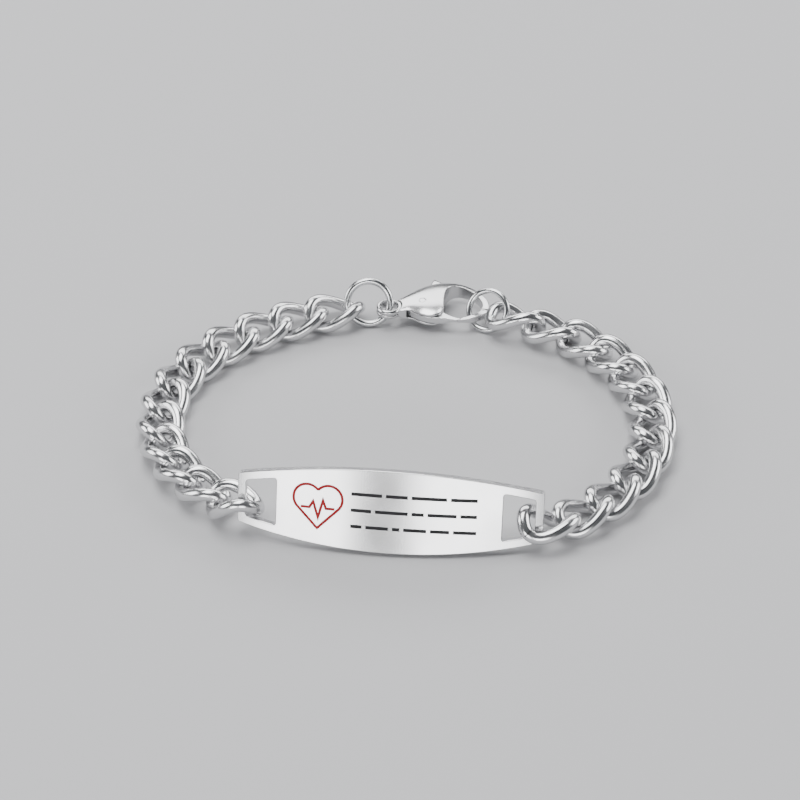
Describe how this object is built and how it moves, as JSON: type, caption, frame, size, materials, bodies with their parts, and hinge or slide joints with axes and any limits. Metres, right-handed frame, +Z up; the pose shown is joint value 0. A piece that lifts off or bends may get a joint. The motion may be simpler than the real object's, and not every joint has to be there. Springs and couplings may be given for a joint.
{
  "type": "medical alert bracelet",
  "caption": "Medical alert bracelet lying closed: curved steel identity plate with an enamelled emblem, twisted curb chain, jump rings and a lobster clasp.",
  "frame": {"origin": "on the table, under the middle of the closed bracelet's bounding box", "axes": "+X along the identity plate to the right of someone who reads it, +Y from the plate to the clasp, +Z up from the table"},
  "size_m": [0.08, 0.0659, 0.0116],
  "materials": {
    "plate_steel": "polished",
    "chain_steel": "polished",
    "ring_steel": "polished",
    "clasp_steel": "polished",
    "red_enamel": "gloss"
  },
  "bodies": {
    "bracelet": {"id_plate": "plate_steel", "heart_enamel": "red_enamel", "pulse_enamel": "red_enamel", "link_left_01": "chain_steel", "link_left_02": "chain_steel", "link_left_03": "chain_steel", "link_left_04": "chain_steel", "link_left_05": "chain_steel", "link_left_06": "chain_steel", "link_left_07": "chain_steel", "link_left_08": "chain_steel", "link_left_09": "chain_steel", "link_left_10": "chain_steel", "link_left_11": "chain_steel", "link_left_12": "chain_steel", "link_right_01": "chain_steel", "link_right_02": "chain_steel", "link_right_03": "chain_steel", "link_right_04": "chain_steel", "link_right_05": "chain_steel", "link_right_06": "chain_steel", "link_right_07": "chain_steel", "link_right_08": "chain_steel", "link_right_09": "chain_steel", "link_right_10": "chain_steel", "link_right_11": "chain_steel", "link_right_12": "chain_steel", "jump_ring": "ring_steel", "end_ring": "ring_steel", "clasp_body": "clasp_steel", "clasp_pin": "clasp_steel"},
    "lever": {"clasp_lever": "clasp_steel"}
  },
  "joints": [
    {"name": "clasp_lever_hinge", "type": "hinge", "parent": "bracelet", "child": "lever", "pos_m": [0.00316, 0.02647, 0.00236], "axis": [0.0262, -0.0001, 0.9997], "range_deg": [0, 15], "stiffness_Nm_per_rad": 0.01, "springref_deg": -17.19}
  ]
}
